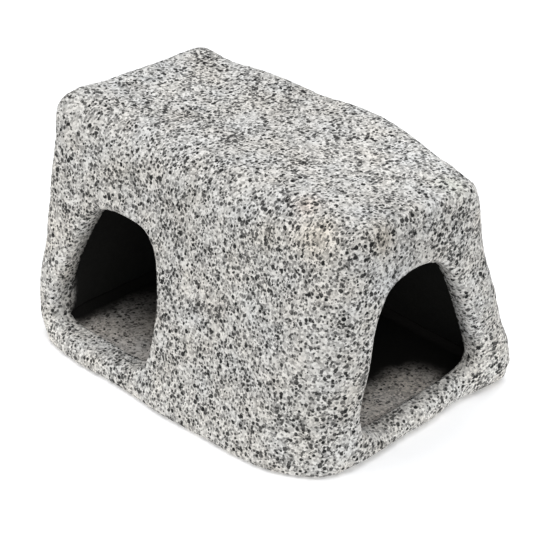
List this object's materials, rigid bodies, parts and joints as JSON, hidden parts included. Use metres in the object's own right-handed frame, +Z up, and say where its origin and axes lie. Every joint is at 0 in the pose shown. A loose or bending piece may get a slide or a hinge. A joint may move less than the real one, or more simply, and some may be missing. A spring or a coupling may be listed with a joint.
{
  "type": "aquarium cave ornament",
  "caption": "Stone-effect resin cave for an aquarium: a hollow tapered block that fish enter through an arched entrance in one long side or in one end.",
  "frame": {"origin": "centre of the flat underside, on the surface that the cave stands on", "axes": "+X along the length, towards the end with the entrance; -Y towards the long side with the entrance; +Z up"},
  "size_m": [0.1561, 0.1158, 0.0989],
  "materials": {
    "stone_coat": "matt sprayed stone effect: off-white with grey and black specks, fine grain",
    "floor_resin": "matt dark resin with stone-effect overspray near the entrances",
    "adhesive": "satin dark epoxy"
  },
  "bodies": {
    "root": {"cave_shell": "stone_coat", "floor_slab": "floor_resin", "bond_bead": "adhesive"}
  },
  "joints": []
}
